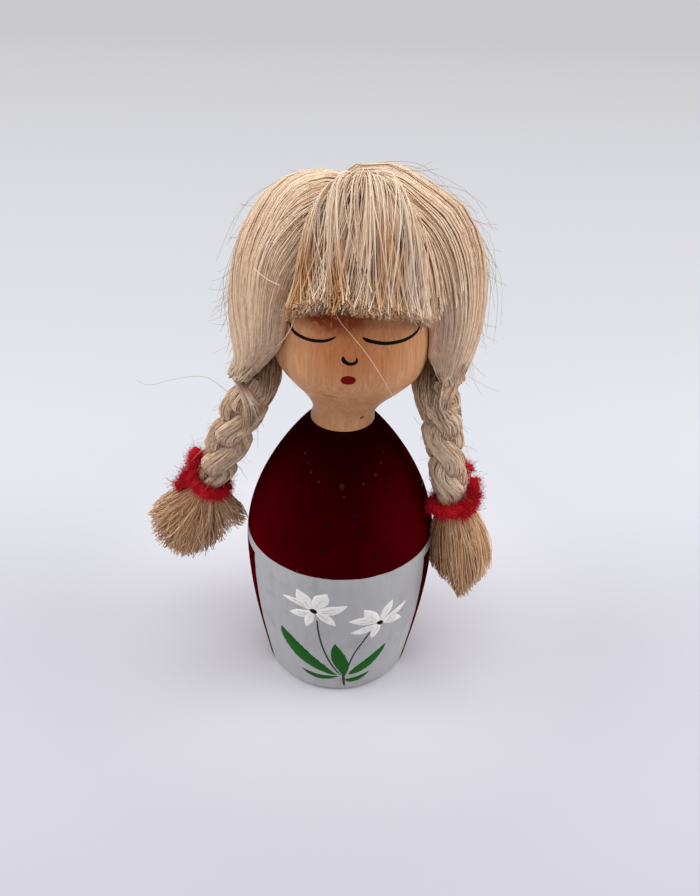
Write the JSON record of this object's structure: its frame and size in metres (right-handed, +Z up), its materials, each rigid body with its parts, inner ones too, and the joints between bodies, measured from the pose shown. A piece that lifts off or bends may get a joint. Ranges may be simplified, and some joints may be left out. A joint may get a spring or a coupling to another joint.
{
  "type": "peg doll",
  "caption": "Turned wooden peg doll in a dark red painted dress and silver apron, with flax hair in a fringe and yarn-tied plaits.",
  "frame": {"origin": "centre of the flat base", "axes": "+Z up along the turned body, -Y out of the face, +X to the right as the face is seen"},
  "size_m": [0.0871, 0.0521, 0.1281],
  "materials": {
    "painted_wood": "painted, semi-gloss varnish",
    "bare_wood": "sanded bare wood, clear lacquer",
    "flax_hair": "combed flax fibre",
    "flax_ends": "loose cut flax fibre",
    "wool_yarn": "fuzzy wool yarn"
  },
  "bodies": {
    "doll": {"dress_body": "painted_wood", "head": "bare_wood", "fringe": "flax_hair", "left_hank": "flax_hair", "right_hank": "flax_hair"},
    "left_plait": {"left_plait_strand_1": "flax_hair", "left_plait_strand_2": "flax_hair", "left_plait_strand_3": "flax_hair", "left_yarn_tie": "wool_yarn", "left_tassel": "flax_ends"},
    "right_plait": {"right_plait_strand_1": "flax_hair", "right_plait_strand_2": "flax_hair", "right_plait_strand_3": "flax_hair", "right_yarn_tie": "wool_yarn", "right_tassel": "flax_ends"}
  },
  "joints": [
    {"name": "left_plait_swing", "type": "hinge", "parent": "doll", "child": "left_plait", "pos_m": [-0.02096, -0.003, 0.08115], "axis": [0, 1, 0], "range_deg": [0, 60]},
    {"name": "right_plait_swing", "type": "hinge", "parent": "doll", "child": "right_plait", "pos_m": [0.02164, -0.003, 0.08115], "axis": [0, -1, 0], "range_deg": [0, 70]}
  ]
}
